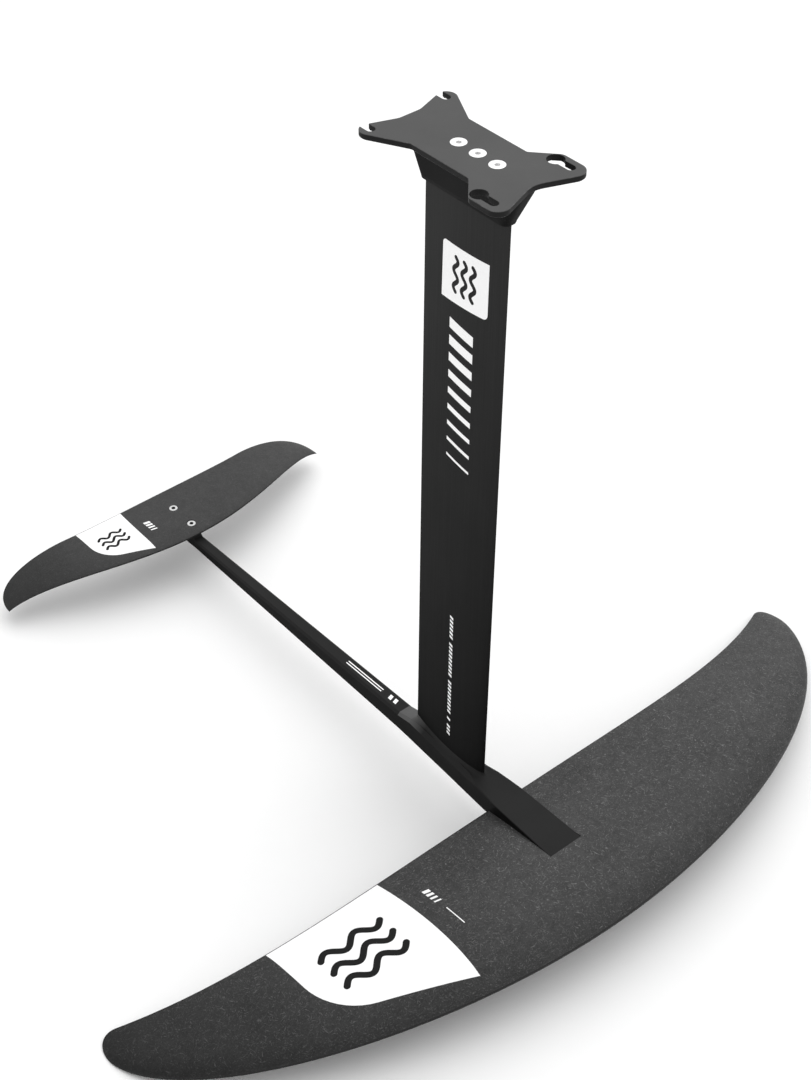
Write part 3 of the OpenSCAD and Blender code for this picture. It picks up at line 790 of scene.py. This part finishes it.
def make_fuselage():
    table = np.array(FUSELAGE, float)
    ys = sorted(set(list(table[:, 0]) + list(np.arange(-180, 100, 12.0)) + list(np.arange(110, 500, 30.0))))
    e = FUS_LOW_EDGE
    rings = []
    for y in ys:
        half, top, low, cx, cz = fuselage_at(y)
        rings.append([
            (half - e, y, low), (half, y, low + e), (half, y, top - cz), (half - cx, y, top),
            (cx - half, y, top), (-half, y, top - cz), (-half, y, low + e), (e - half, y, low),
        ])
    verts, faces = rings_mesh(rings)
    skins = [MAT[k] for k in ("fuselage", "fuselage_side", "ramp")]
    obj = piece("fuselage_body", verts, faces, skins, "fuselage_anodised", sharp=180)
    cut(obj, *mast_column(mast_lo[2], FUS_TOP + 20))
    for y in CHANNELS:
        cut(obj, *lathe([(8.02, -1), (8.02, 0.4), (4.1, 4.3), (4.1, 12)], 0, y, FUS_LOW))
    # Faces that don't face up take the darker copy, a painted shade; upward ramp faces take the painted
    # highlight.
    for face in obj.data.polygons:
        on_ramp = RAMP_FROM * MM < face.center.y < RAMP_TO * MM
        face.material_index = (2 if on_ramp else 0) if face.normal.z > 0.5 else 1
    bev = obj.modifiers.new("bevel", "BEVEL")
    bev.width = 0.45 * MM
    bev.segments = 3
    bev.limit_method = "ANGLE"
    bev.angle_limit = math.radians(22)
    bev.use_clamp_overlap = True
    apply_modifiers(obj)
    finish_piece(obj, None, 35, weighted=True)
    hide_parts("fuselage")


def make_fillet():
    """Soft web between the mast's foot and the fuselage's upper faces."""
    loop = mast_loop(steps=40)
    n = len(loop)
    rise = widest = 5.2
    margin, into_mast, into_top = 0.6, 0.6, 3.0
    rows = []
    for here, out in zip(loop, offset_loop(loop, -1.0)):
        p = np.array(here)
        d = np.array(out) - p
        d = d / np.linalg.norm(d)
        half = fuselage_at(p[1])[0]
        reach = widest
        while abs(p[0] + d[0] * reach) > half - margin and reach > 1:
            reach -= 0.1
        end = p + d * reach
        foot = fuselage_top(*p)
        z_end = fuselage_top(*end)
        inner = p - d * into_mast
        prof = [(*inner, foot - into_top), (*inner, foot + rise)]
        prof += bow((*p, foot + rise), (*p, foot - 0.1), (*end, z_end + 0.02), 9)
        prof.append((*end, z_end - 1.2))
        rows.append(prof)
    m = len(rows[0])
    verts = [tuple(p) for row in rows for p in row]
    faces, mats = [], []
    for k in range(n):
        for s in range(m):
            row, following, up = k * m, (k + 1) % n * m, (s + 1) % m
            faces.append((row + s, row + up, following + up, following + s))
            # Behind RAMP_FROM the web takes the rear ramp's painted highlight.
            mats.append(1 if loop[k][1] > RAMP_FROM else 0)
    skins = [MAT["fuselage"], MAT["ramp"]]
    piece("mast_foot_fillet", verts, faces, skins, "fuselage_anodised", mats, sharp=60)


# ---- wing and stabiliser shells ----

def foil_shell(semi, edges, height, stations, chordwise):
    """Lofted wing from tip to tip, with its leading and trailing edges in the second material."""
    last, edge_steps = 0.9996, 2
    us = np.sin(np.arcsin(last) * np.arange(-stations, stations + 1) / stations)
    ts = (1 - np.cos(np.pi * np.arange(chordwise + 1) / chordwise)) / 2
    rings = []
    for s in us:
        u = abs(s)
        le, te = edges(u)
        y = le + (te - le) * ts
        top = height(u, ts, 1)
        low = height(u, ts, -1)
        x = semi * s
        ring = [(x, y[j], top[j]) for j in range(chordwise + 1)]
        ring += [(x, y[j], low[j]) for j in range(chordwise, 0, -1)]
        rings.append(ring)
    verts, faces = rings_mesh(rings)
    n = len(rings[0])
    mats = []
    for k in range(len(faces)):
        j = k % n
        upper = min(j, n - 1 - j)
        mats.append(1 if upper < edge_steps or upper >= chordwise - edge_steps else 0)
    return verts, faces, mats


def make_wing():
    verts, faces, mats = foil_shell(WING_SEMI, wing_edges, wing_z, 110, 46)
    skins = [MAT["wing"], MAT["wing_edge"]]
    obj = piece("front_wing_shell", verts, faces, skins, "carbon_upper", mats, sharp=50)
    nose, behind = FUSELAGE[:2]
    above = FUS_TOP + 20
    rings = []
    for y in (nose[0] - FIT_GAP, WING_NOSE + WING_CHORD + 15):
        share = (y - nose[0]) / (behind[0] - nose[0])
        half = nose[1] + (behind[1] - nose[1]) * share + FIT_GAP
        low = FUS_TOP + nose[3] + (behind[3] - nose[3]) * share - FIT_GAP
        rings.append([(half, y, low), (half, y, above), (-half, y, above), (-half, y, low)])
    cut(obj, *rings_mesh(rings))
    pocket = WING_CUP[0] + 0.05
    for y in WING_SCREWS:
        cut(obj, *lathe([(pocket, -2), (pocket, 4.05)], 0, y, wing_belly(y)))
    finish_piece(obj, None, 40)
    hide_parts("front_wing_upper_skin", "front_wing_lower_skin")


def make_stab():
    verts, faces, mats = foil_shell(STAB_SEMI, stab_edges, stab_z, 80, 40)
    skins = [MAT["stab"], MAT["wing_edge"]]
    obj = piece("stabiliser_body", verts, faces, skins, "carbon_stabiliser", mats, sharp=50)
    pad = fuselage_at(STAB_SCREWS[0])[1]
    half, front, rear = 8.5, 509.5, 588.5
    seat = [[(-half, front, z), (half, front, z), (half, rear, z), (-half, rear, z)]
            for z in (pad + SHIM - 10, pad + SHIM)]
    cut(obj, *rings_mesh(seat))
    pocket = STAB_CUP[0] + 0.05
    for y in STAB_SCREWS:
        cut(obj, *lathe([(pocket, -4), (pocket, 1)], 0, y, stab_back(y)))
    finish_piece(obj, None, 40)
    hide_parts("stabilizer")


# ---- printed panels and marks ----

def sheet(grid, surface, lift, sink):
    """Thin closed sheet: rows of plan points set on a surface, lift above it and sink below."""
    rows, cols = len(grid), len(grid[0])
    verts = [surface(a, b, lift) for row in grid for a, b in row]
    verts += [surface(a, b, -sink) for row in grid for a, b in row]
    base = rows * cols
    faces = []
    for i in range(rows - 1):
        for j in range(cols - 1):
            p = i * cols + j
            faces.append((p, p + 1, p + cols + 1, p + cols))
            faces.append((base + p, base + p + cols, base + p + cols + 1, base + p + 1))
    edge = list(range(cols)) + [i * cols + cols - 1 for i in range(1, rows)]
    edge += [(rows - 1) * cols + j for j in range(cols - 2, -1, -1)]
    edge += [i * cols for i in range(rows - 2, 0, -1)]
    faces += [(a, base + a, base + b, b) for a, b in zip(edge, edge[1:] + edge[:1])]
    return verts, faces


def prints(name, grids, surface, lift, mat, slot="carbon_upper", sink=0.25):
    verts, faces = join_parts([sheet(g, surface, lift, sink) for g in grids])
    piece(name, verts, faces, [MAT[mat]], slot, sharp=60)


def bow(a, control, b, steps=24):
    """Points of a curve from a to b that is drawn towards the control point."""
    a, c, b = (np.array(p, float) for p in (a, control, b))
    return [tuple((1 - s) ** 2 * a + 2 * s * (1 - s) * c + s * s * b) for s in np.linspace(0, 1, steps)]


def fill(outline, columns, across):
    """Rows of points over an outline that any line of constant first coordinate crosses in a single span."""
    inset, least_step = 0.02, 0.03
    loop = np.array(outline, float)
    ends = np.roll(loop, -1, axis=0)
    lo, hi = loop[:, 0].min(), loop[:, 0].max()
    rows, before = [], -math.inf
    for m in sorted(list(loop[:, 0]) + list(np.linspace(lo, hi, columns))):
        m = min(max(m, lo + inset), hi - inset)
        if m - before < least_step:
            continue
        before = m
        hits = [p[1] + (q[1] - p[1]) * (m - p[0]) / (q[0] - p[0]) for p, q in zip(loop, ends)
                if (p[0] - m) * (q[0] - m) <= 0 and p[0] != q[0]]
        rows.append([(m, v) for v in np.linspace(min(hits), max(hits), across)])
    return rows


def bar(a, b, c, d, cols=6, rows=6):
    """Four-cornered patch, a to b along one end and d to c along the other."""
    a, b, c, d = (np.array(p, float) for p in (a, b, c, d))
    out = []
    for s in np.linspace(0, 1, rows):
        p, q = a + (d - a) * s, b + (c - b) * s
        out.append([tuple(p + (q - p) * w) for w in np.linspace(0, 1, cols)])
    return out


def stroke(path, width):
    """A band of even width along a path, with rounded ends."""
    path = np.array(path, float)
    tang = np.gradient(path, axis=0)
    tang /= np.linalg.norm(tang, axis=1)[:, None]
    norm = np.stack([-tang[:, 1], tang[:, 0]], axis=1)
    rows = []
    r = width / 2
    caps = [math.radians(a) for a in (8, 30, 55, 75)]
    for a in caps:
        c = path[0] - tang[0] * r * math.cos(a)
        rows.append((c, norm[0], r * math.sin(a)))
    for p, m in zip(path, norm):
        rows.append((p, m, r))
    for a in reversed(caps):
        c = path[-1] + tang[-1] * r * math.cos(a)
        rows.append((c, norm[-1], r * math.sin(a)))
    return [[tuple(c + m * h * w) for w in np.linspace(-1, 1, 5)] for c, m, h in rows]


def waves(centre, along, across, length, height, gap):
    """Three rows of plain waves, the usual sign for water."""
    c, a, b = (np.array(v, float) for v in (centre, along, across))
    out = []
    for off in (-gap, 0, gap):
        s = np.linspace(-0.5, 0.5, 60)
        out.append([c + a * length * q + b * (off + height / 2 * math.sin(q * 4 * math.pi)) for q in s])
    return out


def on_top(height):
    """Places points on a surface, lifted along its normal."""
    def place(x, y, lift):
        z = float(height(x, y))
        step = 0.5
        slope_x = (float(height(x + step, y)) - z) / step
        slope_y = (z - float(height(x, y - step))) / step
        n = np.array([-slope_x, -slope_y, 1.0])
        n /= np.linalg.norm(n)
        return (x + n[0] * lift, y + n[1] * lift, z + n[2] * lift)
    return place


def on_mast(y, z, lift):
    """Places points on the mast's starboard side."""
    return (-(float(mast_half(y)) + lift), y, z)


def make_wing_prints():
    top = on_top(over_foil(WING_SEMI, wing_edges, wing_z))

    def rear(x):
        return float(wing_edges(abs(x) / WING_SEMI)[1]) - 1.0

    inner, outer, tip = -183.0, -327.7, (-183.4, -257.0)
    loop = rounded([(outer, rear(outer)), (-325.5, -192.2, 75), tip])
    loop += bow(tip, (-173.8, -172.6), (inner, rear(inner)))[1:]
    loop += [(x, rear(x)) for x in np.linspace(inner, outer, 20)[1:-1]]
    prints("wing_panel", [fill(loop, 60, 36)], top, 0.05, "white")
    paths = waves((-254, -153), (1, 0), (0, 1), 80, 13, 22)
    prints("wing_waves", [stroke(path, 7.6) for path in paths], top, 0.1, "ink", sink=0.3)
    marks = []
    for k in range(4):
        y, thick = -133 - 6.6 * k, 4.4 - 0.8 * k
        marks.append(bar((-157, y), (-149, y - 2.2), (-149, y - 2.2 - thick), (-157, y - thick)))
    marks.append(bar((-153.4, -169), (-152.2, -169), (-152.2, -198), (-153.4, -198), 3, 12))
    prints("wing_bars", marks, top, 0.06, "white")


def make_stab_prints():
    top = on_top(over_foil(STAB_SEMI, stab_edges, stab_z))

    def rear(x):
        return float(stab_edges(abs(x) / STAB_SEMI)[1]) - 0.7

    inner, outer, tip = -58.5, -125.4, (-62.4, 506.9)
    loop = rounded([(outer, rear(outer)), (-126.3, 536.5, 44), tip])
    loop += bow(tip, (-63.15, 551.6), (inner, rear(inner)))[1:]
    loop += [(x, rear(x)) for x in np.linspace(inner, outer, 14)[1:-1]]
    slot = "carbon_stabiliser"
    prints("stabiliser_panel", [fill(loop, 44, 26)], top, 0.04, "white", slot)
    paths = waves((-94.5, 557), (1, 0), (0, 1), 34, 6.2, 10.4)
    prints("stabiliser_waves", [stroke(path, 3.7) for path in paths], top, 0.08, "ink", slot, 0.3)
    marks = []
    for k in range(4):
        y, thick = 557 - 6.0 * k, 4.2 - 0.7 * k
        marks.append(bar((-48.5, y), (-40, y - 2), (-40, y - 2 - thick), (-48.5, y - thick)))
    prints("stabiliser_bars", marks, top, 0.05, "white", slot)


def make_mast_prints():
    tile = rounded([(25, -102.3, 5), (-39.3, -101.2), (-39.2, -162.6, 6), (25.8, -166)])
    prints("mast_panel", [fill(tile, 26, 8)], on_mast, 0.05, "white", "mast_anodised")
    paths = waves((-7, -133), (0, 1), (1, 0), 38, 6, 12)
    prints("mast_waves", [stroke(path, 4.6) for path in paths], on_mast, 0.1, "ink", "mast_anodised", 0.3)
    marks, count = [], 9
    for k in range(count):
        z, thick = -184.0 - 20.6 * k, 12.0 - 9.0 * k / (count - 1)
        marks.append(bar((12, z), (-22, z - 6), (-22, z - 6 - thick), (12, z - thick), 14, 3))
    pauses = (6, 16, 26, 28)
    for k in range(32):
        if k not in pauses:
            z = -566 - 5.85 * k
            marks.append(bar((-1.8, z), (-7, z - 1.8), (-7, z - 5.2), (-1.8, z - 3.4), 3, 2))
    prints("mast_bars", marks, on_mast, 0.06, "white", "mast_anodised")


def make_boom_prints():
    def on_boom(x, y, lift):
        return (x, y, fuselage_at(y)[1] + lift)

    marks = [bar((x, 122), (x + 1.4, 122), (x + 1.4, 188), (x, 188), 2, 12) for x in (-2.8, 0.8)]
    for y in (94, 103):
        marks.append(bar((-3.4, y), (3.2, y + 2), (3.2, y + 7), (-3.4, y + 5), 3, 3))
    prints("boom_bars", marks, on_boom, 0.05, "white", "fuselage_anodised", 0.2)


# ---- stage ----

def make_stage():
    """Pale floor just under the lowest point, an even white sky and one very wide, soft lamp."""
    z = cad_box[0][2] - 0.5 * MM
    reach = 200.0
    mesh = bpy.data.meshes.new("floor")
    mesh.from_pydata([(-reach, -reach, z), (reach, -reach, z), (reach, reach, z), (-reach, reach, z)],
                     [], [(0, 1, 2, 3)])
    mesh.materials.append(paint("floor_paint", grey(251), grey(253), 0.9))
    floor = bpy.data.objects.new("floor", mesh)
    scene.collection.objects.link(floor)
    world = bpy.data.worlds.new("studio")
    world.use_nodes = True
    background = world.node_tree.nodes["Background"]
    background.inputs["Color"].default_value = (1, 1, 1, 1)
    background.inputs["Strength"].default_value = 0.76
    scene.world = world
    light = bpy.data.lights.new("sky", "SUN")
    light.angle = math.radians(85)
    light.energy = 1.4
    sky = bpy.data.objects.new("sky", light)
    sky.rotation_euler = Vector((-0.55, -0.2, -1)).to_track_quat("-Z", "Y").to_euler()
    scene.collection.objects.link(sky)
    scene.view_settings.view_transform = "Standard"


def make_camera():
    """In front of the foil, above it and to starboard, with the framing of the photograph."""
    data = bpy.data.cameras.new("camera")
    data.sensor_width = 36
    data.lens = 64.185
    data.shift_x = 0.0702
    data.shift_y = -0.0034
    data.clip_end = 100
    cam = bpy.data.objects.new("camera", data)
    turn = Euler([math.radians(angle) for angle in (48.57, 1.136, -38.509)])
    cam.matrix_world = Matrix.LocRotScale((-1.0202, -1.1117, 0.872), turn, None)
    scene.collection.objects.link(cam)
    scene.camera = cam


# ---- assembly ----

make_plate()
plate_heads = [(y, -0.2) for y in CHANNELS]
foot_heads = [(y, FUS_LOW + 0.2) for y in CHANNELS]
# The plate screws' hexes take the darker recess copy of their steel: painted shade.
screws("plate_screw_set", "plate_screws", PLATE_SCREW, plate_heads, 1, "steel", "recess")
screws("mast_foot_screw_set", "mast_foot_screws", FOOT_SCREW, foot_heads, -1, "plain_steel", "insert")
make_mast()
make_head()
make_fuselage()
make_fillet()
make_wing()
make_stab()
belly = [(y, wing_belly(y) + 0.25) for y in WING_SCREWS]
back = [(y, stab_back(y) - 0.2) for y in STAB_SCREWS]
cups("wing_cup_set", "front_wing_screw_cups", *WING_CUP, belly, -1)
cups("stabiliser_cup_set", "stabilizer_screw_cups", *STAB_CUP, back, 1)
wing_heads = [(y, z + 0.2) for y, z in belly]
stab_heads = [(y, z - 0.2) for y, z in back]
screws("wing_screw_set", "front_wing_screws", WING_SCREW, wing_heads, -1, "plain_steel", "insert")
# The stabiliser screws' hexes take the black cup steel: painted shade.
screws("stabiliser_screw_set", "stabilizer_screws", STAB_SCREW, stab_heads, 1, "plain_steel", "cup")
make_wing_prints()
make_stab_prints()
make_mast_prints()
make_boom_prints()

# Hidden parts keep their CAD meshes and get a material
HIDDEN = {
    "mast_cell_plugs": "plug",
    "mast_top_inserts": "insert",
    "mast_foot_inserts": "insert",
    "fuselage_front_inserts": "insert",
    "fuselage_tail_inserts": "insert",
    "front_wing_core": "core",
    "front_wing_mount_block": "block",
    "stabilizer_shim": "plug",
}
for node, mat in HIDDEN.items():
    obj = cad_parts[node]
    obj.data.materials.clear()
    obj.data.materials.append(MAT[mat])

make_stage()
make_camera()
